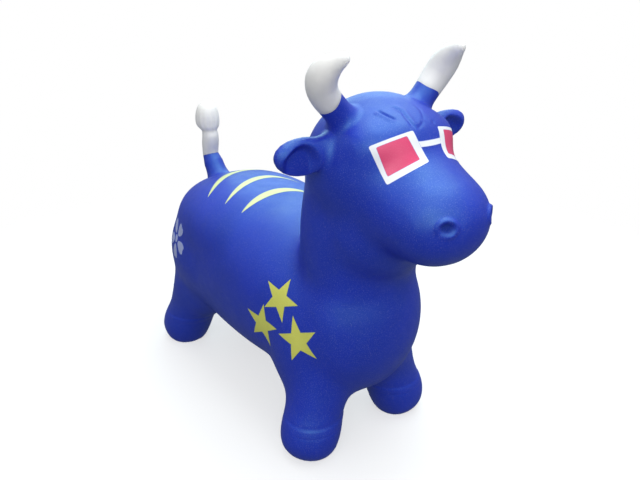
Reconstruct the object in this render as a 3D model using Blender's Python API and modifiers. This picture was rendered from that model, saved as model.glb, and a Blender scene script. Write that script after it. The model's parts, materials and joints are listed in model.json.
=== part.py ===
"""Inflatable hopping bull: a hollow PVC skin with soft horns, ears and tail, and an air valve in the belly.

-Y is forward, +X is the toy's left and +Z is up.  While the shape is built, distances along Y are measured
from the front hoofs; at the end one empty carries every piece, so that the origin lies on the ground under
the middle of the bounding box.  All lengths are in metres and all angles in degrees.
"""

import math

import bmesh
import bpy
from mathutils import Matrix, Vector

OBJECT_NAME = "animal_hopper"
SIDES = (("left", 1.0), ("right", -1.0))

# Wall and fits
WALL = 0.0026
SOLE = 0.005
GAP = 0.0003
BALL_GAP = 0.0004

# Stance and legs; the edge of a hoof is (inset, height) in shares of its rounding
WHEELBASE = 0.354
FRONT_TRACK = 0.166
REAR_TRACK = 0.174
BELLY_CLEARANCE = 0.066
HOOF_DIAMETER = 0.074
HOOF_HEIGHT = 0.048
HOOF_ROUNDING = 0.013
HOOF_SINK_SHARE = 0.3
HOOF_EDGE = ((0.0, 1.6), (0.3, 0.7), (1.0, 0.15), (1.8, 0.0))
ANKLE_DIAMETER = 0.068
ANKLE_RISE = 0.015
LEG_ROOT_DIAMETER = 0.086
LEG_EMBED = 0.049
FRONT_LEG_SPLAY = 0.038
FRONT_LEG_RAKE = 0.016
REAR_LEG_SPLAY = 0.024
REAR_LEG_RAKE = -0.052

# Trunk, with the swellings above the legs
TRUNK_WIDTH = 0.212
TRUNK_HEIGHT = 0.208
TRUNK_FRONT_OVERHANG = 0.060
TRUNK_REAR_OVERHANG = 0.052
TRUNK_FULLNESS = 2.3
RUMP_WIDTH = 0.222
RUMP_LENGTH = 0.258
RUMP_HEIGHT = 0.198
RUMP_FORWARD = 0.086
RUMP_RISE = -0.002
SADDLE_WIDTH = 0.208
SADDLE_LENGTH = 0.280
SADDLE_HEIGHT = 0.140
SADDLE_FORWARD = 0.124
SADDLE_RISE = 0.008
SADDLE_FULLNESS = 2.4
SHOULDER_WIDTH = 0.086
SHOULDER_LENGTH = 0.108
SHOULDER_HEIGHT = 0.170
SHOULDER_INSET = 0.029
SHOULDER_BACK = 0.036
SHOULDER_RISE = 0.075
THIGH_WIDTH = 0.085
THIGH_LENGTH = 0.106
THIGH_HEIGHT = 0.117
THIGH_INSET = 0.026
THIGH_FORWARD = 0.054
THIGH_RISE = 0.048

# Chest, neck and head; the rises are measured from the level of the back
CHEST_WIDTH = 0.166
CHEST_LENGTH = 0.140
CHEST_HEIGHT = 0.200
CHEST_BACK = 0.005
CHEST_DROP = 0.102
NECK_WIDTH = 0.144
NECK_LENGTH = 0.122
NECK_HEIGHT = 0.300
NECK_BACK = 0.003
NECK_RISE = 0.006
JOWL_WIDTH = 0.132
JOWL_LENGTH = 0.104
JOWL_HEIGHT = 0.120
JOWL_FORWARD = 0.036
JOWL_RISE = 0.032
CRANIUM_WIDTH = 0.156
CRANIUM_LENGTH = 0.148
CRANIUM_HEIGHT = 0.146
CRANIUM_FORWARD = 0.020
CRANIUM_RISE = 0.097
BROW_WIDTH = 0.136
BROW_LENGTH = 0.075
BROW_HEIGHT = 0.062
BROW_FORWARD = 0.033
BROW_RISE = 0.031
FACE_WIDTH = 0.122
FACE_LENGTH = 0.132
FACE_HEIGHT = 0.110
FACE_FORWARD = 0.050
FACE_DROP = 0.026
MUZZLE_WIDTH = 0.114
MUZZLE_LENGTH = 0.104
MUZZLE_HEIGHT = 0.094
MUZZLE_FORWARD = 0.037
MUZZLE_DROP = 0.009

# Horns: a blue root on the head carries a white tip on a ball at the paint line; the shares are of its length
HORN_LEAN = 43.0
HORN_FORWARD = 0.0035
HORN_ROOT_LENGTH = 0.024
HORN_ROOT_DIAMETER = 0.042
HORN_BALL_DIAMETER = 0.025
HORN_DIAMETER = 0.029
HORN_TIP_DIAMETER = 0.006
HORN_TIP_OUT = 0.009
HORN_TIP_FORWARD = 0.034
HORN_TIP_RISE = 0.046
HORN_TAPER = 3.0
HORN_ARRIVAL_OUT = -0.30
HORN_ARRIVAL_FORWARD = 0.88
HORN_ARRIVAL_RISE = 0.36
HORN_RISE_SHARE = 0.52
HORN_SWEEP_SHARE = 0.46

# Ears: leaves hollowed in front, on balls at the sides of the head
EAR_LIFT = 16.0
EAR_ROOT_LENGTH = 0.005
EAR_ROOT_DIAMETER = 0.021
EAR_BALL_DIAMETER = 0.016
EAR_LENGTH = 0.064
EAR_HEIGHT = 0.038
EAR_THICKNESS = 0.024
EAR_FULLNESS = 2.3
EAR_INSET = 0.014
EAR_BASE_BEVEL = 24.0
EAR_HOLLOW_LENGTH = 0.037
EAR_HOLLOW_HEIGHT = 0.023
EAR_HOLLOW_DEPTH = 0.006
EAR_HOLLOW_OUT = 0.008

# Tail: a blue root on the rump carries a white stem with a tuft, whose outline is (radius, height) in shares
TAIL_LEAN = 40.5
TAIL_ROOT_LENGTH = 0.050
TAIL_ROOT_DIAMETER = 0.036
TAIL_BALL_DIAMETER = 0.022
TAIL_DIAMETER = 0.026
TAIL_WAIST_DIAMETER = 0.023
TAIL_STEM = 0.042
TUFT_DIAMETER = 0.038
TUFT_HEIGHT = 0.042
TUFT_OUTLINE = ((0.34, 0.97), (0.68, 0.86), (0.92, 0.66), (1.0, 0.42), (0.86, 0.18))
STEM_STRAIGHT_SHARE = 0.6

# Air valve under the belly
VALVE_FORWARD = 0.174
VALVE_BOSS_DIAMETER = 0.044
VALVE_BOSS_DROP = 0.004
VALVE_BOSS_HEIGHT = 0.013
SEAT_DIAMETER = 0.022
SEAT_FLANGE_DIAMETER = 0.030
SEAT_FLANGE = 0.002
SEAT_HEIGHT = 0.011
PLUG_DIAMETER = 0.009
PLUG_HEAD_DIAMETER = 0.016
PLUG_HEAD = 0.0025
PLUG_LENGTH = 0.014

# Where the one-piece skin is divided into simple bodies
NECK_SEAM_RISE = 0.002
NECK_SEAM_TILT = 13.0
LEG_SEAM_INSET = 0.006
LEG_SEAM_TILT = 34.0
LEG_CUT_MARGIN = 0.011

# Fineness of the form: fusing grid, rounds of softening, and what each softening takes off
VOXEL = 0.005
BODY_SOFTENING = 60
BODY_REFILL = 0.003
ROOT_SOFTENING = 6
ROOT_REFILL = 0.0006
OUTER_SHARE = 0.058
CAVITY_SHARE = 0.026
ROUND_STEPS = 32
BALL_STEPS = 24
EAR_STEPS = 20
HORN_RINGS = 9
HORN_BEVEL_RESOLUTION = 7
CUTTER_SPAN = 1.2

# Shares of a ball: where the piece that rides on it begins, and how wide the root below it ends
RIM_SHARE = 0.36
ROOT_END_SHARE = 0.88

# Where a root starts between the middle of its body and its ball
HORN_ROOT_START = 0.5
ROOT_START = 0.6

# Merging distances and shading
WELD = 0.00001
MIRROR_WELD = 0.0001
SOFTENING_FACTOR = 0.5
EDGE_ANGLE = 40.0
BLUE = (0.020, 0.045, 0.46)
WHITE = (0.72, 0.70, 0.68)
CLEAR = (0.80, 0.80, 0.78)
BLUE_ROUGHNESS = 0.45
WHITE_ROUGHNESS = 0.50
CLEAR_ROUGHNESS = 0.35

# Levels and places that follow from the sizes above
BACK_LEVEL = BELLY_CLEARANCE + TRUNK_HEIGHT
TRUNK_CENTRE = Vector((0, (WHEELBASE + TRUNK_REAR_OVERHANG - TRUNK_FRONT_OVERHANG) / 2,
                       BELLY_CLEARANCE + TRUNK_HEIGHT / 2))
TRUNK_LENGTH = WHEELBASE + TRUNK_FRONT_OVERHANG + TRUNK_REAR_OVERHANG
RUMP_CENTRE = Vector((0, WHEELBASE - RUMP_FORWARD, TRUNK_CENTRE.z + RUMP_RISE))
RUMP_SIZE = Vector((RUMP_WIDTH, RUMP_LENGTH, RUMP_HEIGHT))
CRANIUM_CENTRE = Vector((0, -CRANIUM_FORWARD, BACK_LEVEL + CRANIUM_RISE))
CRANIUM_SIZE = Vector((CRANIUM_WIDTH, CRANIUM_LENGTH, CRANIUM_HEIGHT))
BROW_CENTRE = CRANIUM_CENTRE + Vector((0, -BROW_FORWARD, BROW_RISE))
FACE_CENTRE = CRANIUM_CENTRE + Vector((0, -FACE_FORWARD, -FACE_DROP))
MUZZLE_CENTRE = FACE_CENTRE + Vector((0, -MUZZLE_FORWARD, -MUZZLE_DROP))
VALVE_FACE = Vector((0, WHEELBASE - VALVE_FORWARD, BELLY_CLEARANCE - VALVE_BOSS_DROP))


def new_collection(name):
    collection = bpy.data.collections.new(name)
    bpy.context.scene.collection.children.link(collection)
    return collection


def new_object(name, data, collection):
    obj = bpy.data.objects.new(name, data)
    collection.objects.link(obj)
    return obj


def settled_mesh(obj):
    """The mesh of an object with its modifiers and its placing carried out."""
    bpy.context.view_layer.update()
    graph = bpy.context.evaluated_depsgraph_get()
    mesh = bpy.data.meshes.new_from_object(obj.evaluated_get(graph))
    mesh.transform(obj.matrix_world)
    return mesh


def settle(obj):
    mesh = settled_mesh(obj)
    obj.modifiers.clear()
    obj.matrix_world = Matrix.Identity(4)
    obj.data = mesh
    return obj


def object_from(bm, name, collection):
    mesh = bpy.data.meshes.new(name)
    bm.to_mesh(mesh)
    bm.free()
    return new_object(name, mesh, collection)


def ellipsoid(name, centre, size, collection, steps=ROUND_STEPS, fullness=2.0):
    """A sphere stretched to a size; a fullness above two swells it towards its bounding box."""
    bm = bmesh.new()
    bmesh.ops.create_uvsphere(bm, u_segments=steps, v_segments=steps // 2, radius=1.0)
    for vert in bm.verts:
        total = sum(abs(value) ** fullness for value in vert.co)
        vert.co *= total ** (-1.0 / fullness)
    bm.transform(Matrix.Translation(centre) @ Matrix.Diagonal((*(Vector(size) / 2), 1.0)))
    return object_from(bm, name, collection)


def ball(name, centre, diameter, collection):
    return ellipsoid(name, centre, (diameter, diameter, diameter), collection, BALL_STEPS)


def frame_along(start, direction):
    """A frame at a point with its Z along a direction."""
    return Matrix.Translation(start) @ Vector(direction).to_track_quat("Z", "Y").to_matrix().to_4x4()


def turned(name, profile, frame, collection, steps=ROUND_STEPS):
    """A profile of (radius, height) points, from the top down its outer side, spun about the frame's Z."""
    mesh = bpy.data.meshes.new(name)
    edges = [(index, index + 1) for index in range(len(profile) - 1)]
    if profile[0][0] > 0:
        edges.append((len(profile) - 1, 0))
    mesh.from_pydata([(radius, 0.0, height) for radius, height in profile], edges, [])
    obj = new_object(name, mesh, collection)
    obj.matrix_world = frame
    screw = obj.modifiers.new("turn", "SCREW")
    screw.steps = steps
    screw.render_steps = steps
    screw.use_merge_vertices = True
    screw.merge_threshold = WELD
    return obj


def cut_block(name, point, normal, span, collection):
    """A block with one face on a point, square to a normal, that reaches along the normal."""
    bm = bmesh.new()
    bmesh.ops.create_cube(bm, size=span)
    bm.transform(frame_along(point, normal) @ Matrix.Translation((0, 0, span / 2)))
    return object_from(bm, name, collection)


def boolean(obj, operation, other):
    modifier = obj.modifiers.new(other.name, "BOOLEAN")
    modifier.operation = operation
    modifier.solver = "EXACT"
    modifier.object = other


def joined(name, objects, collection):
    bm = bmesh.new()
    for obj in objects:
        mesh = settled_mesh(obj)
        bm.from_mesh(mesh)
        bpy.data.meshes.remove(mesh)
    return object_from(bm, name, collection)


def fused(obj, softening, refill):
    """Fuse overlapping bodies, soften where they meet, and give back what the softening took off."""
    remesh = obj.modifiers.new("fuse", "REMESH")
    remesh.mode = "VOXEL"
    remesh.voxel_size = VOXEL
    smooth = obj.modifiers.new("soften", "SMOOTH")
    smooth.factor = SOFTENING_FACTOR
    smooth.iterations = softening
    displace(obj, refill)
    return settle(obj)


def displace(obj, distance):
    modifier = obj.modifiers.new("displace", "DISPLACE")
    modifier.strength = distance
    modifier.mid_level = 0.0


def thinned(obj, share):
    """Keep a share of the faces and make the two halves mirror images."""
    decimate = obj.modifiers.new("thin", "DECIMATE")
    decimate.ratio = share
    mirror = obj.modifiers.new("mirror", "MIRROR")
    mirror.use_axis = (True, False, False)
    mirror.use_bisect_axis = (True, False, False)
    mirror.merge_threshold = MIRROR_WELD
    return settle(obj)


def reach_of(size, direction):
    """Distance from the middle of an ellipsoid to its surface along a direction."""
    return 1.0 / math.sqrt(sum((2 * part / length) ** 2 for part, length in zip(direction, size)))


def horn_direction(sign):
    lean = math.radians(HORN_LEAN)
    return Vector((sign * math.sin(lean), 0, math.cos(lean)))


def horn_pivot(sign):
    direction = horn_direction(sign)
    forward = Vector((0, -HORN_FORWARD, 0))
    return CRANIUM_CENTRE + forward + direction * (reach_of(CRANIUM_SIZE, direction) + HORN_ROOT_LENGTH)


def ear_pivot(sign):
    lift = math.radians(EAR_LIFT)
    direction = Vector((sign * math.cos(lift), 0, math.sin(lift)))
    return CRANIUM_CENTRE + direction * (reach_of(CRANIUM_SIZE, direction) + EAR_ROOT_LENGTH)


def tail_pivot():
    lean = math.radians(TAIL_LEAN)
    direction = Vector((0, math.sin(lean), math.cos(lean)))
    return RUMP_CENTRE + direction * (reach_of(RUMP_SIZE, direction) + TAIL_ROOT_LENGTH)


def root(name, inside, pivot, wide, ball_diameter, collection):
    """A tapering root from the inside of a body out to the ball at a pivot."""
    length = (pivot - inside).length
    narrow = ROOT_END_SHARE * ball_diameter
    profile = ((0.0, length), (narrow / 2, length), (wide / 2, 0.0), (0.0, 0.0))
    return turned(name, profile, frame_along(inside, pivot - inside), collection)


def leg_form(name, x, y, splay, rake, collection):
    """A turned leg that leans in by its splay and back by its rake; the ground cuts its rounded sole flat."""
    foot = Vector((x, y, -HOOF_SINK_SHARE * HOOF_ROUNDING))
    top = Vector((x - math.copysign(splay, x), y + rake, BELLY_CLEARANCE + LEG_EMBED))
    length = (top - foot).length
    hoof = HOOF_DIAMETER / 2
    profile = [
        (0.0, length),
        (LEG_ROOT_DIAMETER / 2, length),
        (ANKLE_DIAMETER / 2, HOOF_HEIGHT + ANKLE_RISE),
        (hoof, HOOF_HEIGHT),
    ]
    profile += [(hoof - inset * HOOF_ROUNDING, height * HOOF_ROUNDING) for inset, height in HOOF_EDGE]
    profile.append((0.0, 0.0))
    return turned(name, profile, frame_along(foot, top - foot), collection)


def body_form(collection):
    """The inflated body without horns, ears and tail."""
    chest = (0, CHEST_BACK, BACK_LEVEL - CHEST_DROP)
    neck = (0, NECK_BACK, BACK_LEVEL + NECK_RISE)
    jowl = (0, -JOWL_FORWARD, BACK_LEVEL + JOWL_RISE)
    trunk_size = (TRUNK_WIDTH, TRUNK_LENGTH, TRUNK_HEIGHT)
    saddle = (0, WHEELBASE - SADDLE_FORWARD, BACK_LEVEL + SADDLE_RISE - SADDLE_HEIGHT / 2)
    saddle_size = (SADDLE_WIDTH, SADDLE_LENGTH, SADDLE_HEIGHT)
    forms = [
        ellipsoid("trunk_form", TRUNK_CENTRE, trunk_size, collection, fullness=TRUNK_FULLNESS),
        ellipsoid("rump_form", RUMP_CENTRE, RUMP_SIZE, collection),
        ellipsoid("saddle_form", saddle, saddle_size, collection, fullness=SADDLE_FULLNESS),
        ellipsoid("chest_form", chest, (CHEST_WIDTH, CHEST_LENGTH, CHEST_HEIGHT), collection),
        ellipsoid("neck_form", neck, (NECK_WIDTH, NECK_LENGTH, NECK_HEIGHT), collection),
        ellipsoid("jowl_form", jowl, (JOWL_WIDTH, JOWL_LENGTH, JOWL_HEIGHT), collection),
        ellipsoid("cranium_form", CRANIUM_CENTRE, CRANIUM_SIZE, collection),
        ellipsoid("brow_form", BROW_CENTRE, (BROW_WIDTH, BROW_LENGTH, BROW_HEIGHT), collection),
        ellipsoid("face_form", FACE_CENTRE, (FACE_WIDTH, FACE_LENGTH, FACE_HEIGHT), collection),
        ellipsoid("muzzle_form", MUZZLE_CENTRE, (MUZZLE_WIDTH, MUZZLE_LENGTH, MUZZLE_HEIGHT), collection),
    ]
    shoulder_size = (SHOULDER_WIDTH, SHOULDER_LENGTH, SHOULDER_HEIGHT)
    thigh_size = (THIGH_WIDTH, THIGH_LENGTH, THIGH_HEIGHT)
    for side, sign in SIDES:
        front = sign * FRONT_TRACK / 2
        rear = sign * REAR_TRACK / 2
        shoulder = (front - sign * SHOULDER_INSET, SHOULDER_BACK, BELLY_CLEARANCE + SHOULDER_RISE)
        thigh = (rear - sign * THIGH_INSET, WHEELBASE - THIGH_FORWARD, BELLY_CLEARANCE + THIGH_RISE)
        forms.append(ellipsoid("shoulder_form_" + side, shoulder, shoulder_size, collection))
        forms.append(ellipsoid("thigh_form_" + side, thigh, thigh_size, collection))
        forms.append(leg_form("leg_form_front_" + side, front, 0.0,
                              FRONT_LEG_SPLAY, FRONT_LEG_RAKE, collection))
        forms.append(leg_form("leg_form_rear_" + side, rear, WHEELBASE,
                              REAR_LEG_SPLAY, REAR_LEG_RAKE, collection))
    return fused(joined("body_form", forms, collection), BODY_SOFTENING, BODY_REFILL)


def skin_shell(collection):
    """The hollow skin in one piece, with solid roots for the horns, ears and tail."""
    body = body_form(collection)
    forms = [body]
    for side, sign in SIDES:
        horn_end = horn_pivot(sign)
        ear_end = ear_pivot(sign)
        forms.append(root("horn_root_" + side, CRANIUM_CENTRE.lerp(horn_end, HORN_ROOT_START), horn_end,
                          HORN_ROOT_DIAMETER, HORN_BALL_DIAMETER, collection))
        forms.append(root("ear_root_" + side, CRANIUM_CENTRE.lerp(ear_end, ROOT_START), ear_end,
                          EAR_ROOT_DIAMETER, EAR_BALL_DIAMETER, collection))
    forms.append(root("tail_root", RUMP_CENTRE.lerp(tail_pivot(), ROOT_START), tail_pivot(),
                      TAIL_ROOT_DIAMETER, TAIL_BALL_DIAMETER, collection))
    skin = thinned(fused(joined("skin", forms, collection), ROOT_SOFTENING, ROOT_REFILL), OUTER_SHARE)
    cavity = new_object("skin_cavity", body.data.copy(), collection)
    displace(cavity, -WALL)
    thinned(cavity, CAVITY_SHARE)
    boolean(cavity, "DIFFERENCE", cut_block("sole_floor", (0, 0, SOLE), (0, 0, -1), CUTTER_SPAN, collection))
    boolean(skin, "DIFFERENCE", cut_block("ground", (0, 0, 0), (0, 0, -1), CUTTER_SPAN, collection))
    boolean(skin, "DIFFERENCE", cavity)
    return settle(skin)


def leg_seams():
    """Name, point and outward normal of the plane across the root of each leg, lower on its inner side."""
    tilt = math.radians(LEG_SEAM_TILT)
    for side, sign in SIDES:
        normal = Vector((sign * math.sin(tilt), 0, -math.cos(tilt)))
        front = sign * (FRONT_TRACK / 2 - LEG_SEAM_INSET)
        rear = sign * (REAR_TRACK / 2 - LEG_SEAM_INSET)
        yield "leg_front_" + side, Vector((front, 0, BELLY_CLEARANCE)), normal
        yield "leg_rear_" + side, Vector((rear, WHEELBASE + REAR_LEG_RAKE / 2, BELLY_CLEARANCE)), normal


def neck_seam():
    """Point and upward normal of the plane across the neck."""
    tilt = math.radians(NECK_SEAM_TILT)
    return Vector((0, 0, BACK_LEVEL + NECK_SEAM_RISE)), Vector((0, -math.sin(tilt), math.cos(tilt)))


def leg_cut_span():
    return 2 * (HOOF_DIAMETER + LEG_CUT_MARGIN)


def trunk_skin(shell, parts, cutters):
    trunk = new_object("trunk_skin", shell.data.copy(), parts)
    for name, point, normal in leg_seams():
        block = cut_block(name + "_cut", point - normal * GAP / 2, normal, leg_cut_span(), cutters)
        boolean(trunk, "DIFFERENCE", block)
    point, normal = neck_seam()
    block = cut_block("neck_cut", point - normal * GAP / 2, normal, CUTTER_SPAN, cutters)
    boolean(trunk, "DIFFERENCE", block)
    boolean(trunk, "UNION", ball("tail_ball", tail_pivot(), TAIL_BALL_DIAMETER, cutters))
    frame = Matrix.Translation(VALVE_FACE)
    boss = VALVE_BOSS_DIAMETER / 2
    boss_profile = ((0.0, VALVE_BOSS_HEIGHT), (boss, VALVE_BOSS_HEIGHT), (boss, 0.0), (0.0, 0.0))
    boolean(trunk, "UNION", turned("valve_boss", boss_profile, frame, cutters))
    bore = SEAT_DIAMETER / 2 + GAP
    reach = 2 * VALVE_BOSS_HEIGHT
    bore_profile = ((0.0, reach), (bore, reach), (bore, -reach), (0.0, -reach))
    boolean(trunk, "DIFFERENCE", turned("valve_bore", bore_profile, frame, cutters))
    return settle(trunk)


def head_skin(shell, parts, cutters):
    head = new_object("head_skin", shell.data.copy(), parts)
    point, normal = neck_seam()
    boolean(head, "INTERSECT", cut_block("neck_keep", point + normal * GAP / 2, normal, CUTTER_SPAN, cutters))
    for side, sign in SIDES:
        boolean(head, "UNION", ball("horn_ball_" + side, horn_pivot(sign), HORN_BALL_DIAMETER, cutters))
        boolean(head, "UNION", ball("ear_ball_" + side, ear_pivot(sign), EAR_BALL_DIAMETER, cutters))
    return settle(head)


def legs(shell, parts, cutters):
    pieces = []
    for name, point, normal in leg_seams():
        piece = new_object(name, shell.data.copy(), parts)
        block = cut_block(name + "_keep", point + normal * GAP / 2, normal, leg_cut_span(), cutters)
        boolean(piece, "INTERSECT", block)
        pieces.append(settle(piece))
    return pieces


def recessed(piece, pivot, diameter, cutters):
    """Hollow the base of a piece so that it rides clear of the ball at its pivot."""
    boolean(piece, "DIFFERENCE", ball(piece.name + "_recess", pivot, diameter + 2 * BALL_GAP, cutters))
    return settle(piece)


def with_origin(piece, pivot):
    piece.data.transform(Matrix.Translation(-pivot))
    piece.location = pivot
    return piece


def horn(side, sign, parts, cutters):
    """The white part of a horn: it rises outward, then sweeps forward to a blunt tip."""
    pivot = horn_pivot(sign)
    upward = horn_direction(sign)
    start = pivot + upward * RIM_SHARE * HORN_BALL_DIAMETER / 2
    tip = pivot + Vector((sign * HORN_TIP_OUT, -HORN_TIP_FORWARD, HORN_TIP_RISE))
    arrival = Vector((sign * HORN_ARRIVAL_OUT, -HORN_ARRIVAL_FORWARD, HORN_ARRIVAL_RISE))
    length = (tip - start).length
    handle_up = start + upward * HORN_RISE_SHARE * length
    handle_tip = tip - arrival * HORN_SWEEP_SHARE * length
    curve = bpy.data.curves.new("horn_curve_" + side, "CURVE")
    curve.dimensions = "3D"
    curve.bevel_depth = HORN_DIAMETER / 2
    curve.bevel_resolution = HORN_BEVEL_RESOLUTION
    curve.use_fill_caps = True
    spline = curve.splines.new("POLY")
    spline.points.add(HORN_RINGS)
    for index in range(HORN_RINGS + 1):
        t = index / HORN_RINGS
        u = 1.0 - t
        spot = start * u ** 3 + handle_up * 3 * u * u * t + handle_tip * 3 * u * t * t + tip * t ** 3
        spline.points[index].co = (*spot, 1.0)
        spline.points[index].radius = 1.0 - (1.0 - HORN_TIP_DIAMETER / HORN_DIAMETER) * t ** HORN_TAPER
    guide = new_object("horn_guide_" + side, curve, cutters)
    bm = bmesh.new()
    bm.from_mesh(settled_mesh(guide))
    bmesh.ops.remove_doubles(bm, verts=bm.verts, dist=WELD)
    bpy.data.objects.remove(guide)
    piece = recessed(object_from(bm, "horn_" + side, parts), pivot, HORN_BALL_DIAMETER, cutters)
    return with_origin(piece, pivot)


def ear(side, sign, parts, cutters):
    """A blunt leaf, hollowed in front, whose wedge-shaped base rides on the ball at the side of the head."""
    pivot = ear_pivot(sign)
    outward = Vector((sign, 0, 0))
    middle = pivot + outward * (EAR_LENGTH / 2 - EAR_INSET)
    size = (EAR_LENGTH, EAR_THICKNESS, EAR_HEIGHT)
    piece = ellipsoid("ear_" + side, middle, size, parts, EAR_STEPS, EAR_FULLNESS)
    base = pivot + outward * RIM_SHARE * EAR_BALL_DIAMETER / 2
    bevel = math.radians(EAR_BASE_BEVEL)
    for edge, rise in (("upper", 1.0), ("lower", -1.0)):
        inward = Vector((-sign * math.cos(bevel), 0, rise * math.sin(bevel)))
        boolean(piece, "DIFFERENCE", cut_block(f"ear_{edge}_{side}", base, inward, EAR_LENGTH, cutters))
    hollow = middle + outward * EAR_HOLLOW_OUT - Vector((0, EAR_THICKNESS / 2, 0))
    hollow_size = (EAR_HOLLOW_LENGTH, 2 * EAR_HOLLOW_DEPTH, EAR_HOLLOW_HEIGHT)
    boolean(piece, "DIFFERENCE", ellipsoid("ear_hollow_" + side, hollow, hollow_size, cutters, EAR_STEPS))
    return with_origin(recessed(piece, pivot, EAR_BALL_DIAMETER, cutters), pivot)


def tail(parts, cutters):
    """The white part of the tail: a stem with a drawn-in neck below a round tuft."""
    pivot = tail_pivot()
    start = RIM_SHARE * TAIL_BALL_DIAMETER / 2
    tuft = TUFT_DIAMETER / 2
    profile = [(0.0, TAIL_STEM + TUFT_HEIGHT)]
    profile += [(width * tuft, TAIL_STEM + height * TUFT_HEIGHT) for width, height in TUFT_OUTLINE]
    profile += [
        (TAIL_WAIST_DIAMETER / 2, TAIL_STEM),
        (TAIL_DIAMETER / 2, STEM_STRAIGHT_SHARE * TAIL_STEM),
        (TAIL_DIAMETER / 2, start),
        (0.0, start),
    ]
    piece = settle(turned("tail", profile, Matrix.Translation(pivot), parts, BALL_STEPS))
    return with_origin(recessed(piece, pivot, TAIL_BALL_DIAMETER, cutters), pivot)


def valve_seat(parts):
    """A flanged bush pressed up into the belly."""
    bore = PLUG_DIAMETER / 2 + GAP
    body = SEAT_DIAMETER / 2
    flange = SEAT_FLANGE_DIAMETER / 2
    below = -GAP - SEAT_FLANGE
    profile = (
        (bore, SEAT_HEIGHT),
        (body, SEAT_HEIGHT),
        (body, -GAP),
        (flange, -GAP),
        (flange, below),
        (bore, below),
    )
    return settle(turned("valve_seat", profile, Matrix.Translation(VALVE_FACE), parts))


def valve_plug(parts):
    """The stopper that closes the seat and is pulled out downwards."""
    top = -2 * GAP - SEAT_FLANGE
    stem = PLUG_DIAMETER / 2
    head = PLUG_HEAD_DIAMETER / 2
    profile = (
        (0.0, top + PLUG_LENGTH),
        (stem, top + PLUG_LENGTH),
        (stem, top),
        (head, top),
        (head, top - PLUG_HEAD),
        (0.0, top - PLUG_HEAD),
    )
    piece = settle(turned("valve_plug", profile, Matrix.Translation(VALVE_FACE), parts))
    return with_origin(piece, VALVE_FACE)


def finish(piece, colour, roughness):
    """Give a piece its own material and smooth shading that stops at its edges."""
    material = bpy.data.materials.new(piece.name)
    material.use_nodes = True
    shader = material.node_tree.nodes["Principled BSDF"]
    shader.inputs["Base Color"].default_value = (*colour, 1.0)
    shader.inputs["Roughness"].default_value = roughness
    piece.data.materials.clear()
    piece.data.materials.append(material)
    piece.data.shade_smooth()
    piece.data.set_sharp_from_angle(angle=math.radians(EDGE_ANGLE))


def build():
    for obj in list(bpy.data.objects):
        bpy.data.objects.remove(obj)
    parts = new_collection(OBJECT_NAME)
    cutters = new_collection("cutters")
    shell = skin_shell(cutters)
    blue = [trunk_skin(shell, parts, cutters), head_skin(shell, parts, cutters)] + legs(shell, parts, cutters)
    white = [tail(parts, cutters)]
    for side, sign in SIDES:
        blue.append(ear(side, sign, parts, cutters))
        white.append(horn(side, sign, parts, cutters))
    clear = [valve_seat(parts), valve_plug(parts)]
    looks = ((blue, BLUE, BLUE_ROUGHNESS), (white, WHITE, WHITE_ROUGHNESS), (clear, CLEAR, CLEAR_ROUGHNESS))
    for pieces, colour, roughness in looks:
        for piece in pieces:
            finish(piece, colour, roughness)
    bpy.context.view_layer.update()
    everything = blue + white + clear
    corners = [piece.matrix_world @ Vector(corner) for piece in everything for corner in piece.bound_box]
    nearest = min(corner.y for corner in corners)
    farthest = max(corner.y for corner in corners)
    base = new_object(OBJECT_NAME + "_base", None, parts)
    base.location = (0, -(nearest + farthest) / 2, 0)
    for piece in everything:
        piece.parent = base
    for cutter in cutters.objects:
        cutter.hide_render = True
        cutter.display_type = "WIRE"


build()
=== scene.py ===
"""Looks of an inflatable hopping bull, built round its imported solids.

-Y is forward, +X is the toy's left and +Z is up.  Lengths are in metres and angles in degrees.
"""

import json
import math

import bmesh
import bpy
import numpy as np
from mathutils import Matrix, Vector
from mathutils.bvhtree import BVHTree
from mathutils.interpolate import poly_3d_calc


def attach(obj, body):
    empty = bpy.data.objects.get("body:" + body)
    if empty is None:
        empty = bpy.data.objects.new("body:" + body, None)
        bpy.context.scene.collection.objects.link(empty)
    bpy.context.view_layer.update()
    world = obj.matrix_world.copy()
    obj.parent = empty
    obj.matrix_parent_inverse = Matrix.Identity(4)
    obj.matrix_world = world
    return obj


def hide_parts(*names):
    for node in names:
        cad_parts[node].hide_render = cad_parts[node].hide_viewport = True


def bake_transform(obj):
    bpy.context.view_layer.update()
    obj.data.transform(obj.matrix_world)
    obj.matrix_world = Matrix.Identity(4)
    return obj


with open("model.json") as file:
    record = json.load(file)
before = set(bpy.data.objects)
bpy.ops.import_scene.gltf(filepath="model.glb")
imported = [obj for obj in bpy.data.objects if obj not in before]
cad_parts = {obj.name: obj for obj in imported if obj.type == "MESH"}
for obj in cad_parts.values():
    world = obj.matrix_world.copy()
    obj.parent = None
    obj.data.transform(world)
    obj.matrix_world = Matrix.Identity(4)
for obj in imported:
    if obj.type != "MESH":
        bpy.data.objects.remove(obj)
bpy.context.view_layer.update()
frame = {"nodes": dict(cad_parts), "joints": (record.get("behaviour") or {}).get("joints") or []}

SIDES = (("left", 1.0), ("right", -1.0))
UP = Vector((0.0, 0.0, 1.0))
JOINTS = {joint["name"]: joint for joint in frame["joints"]}

# The least that a length or an area is divided by
TINY_LENGTH = 1e-6
TINY_AREA = 1e-12

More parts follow.
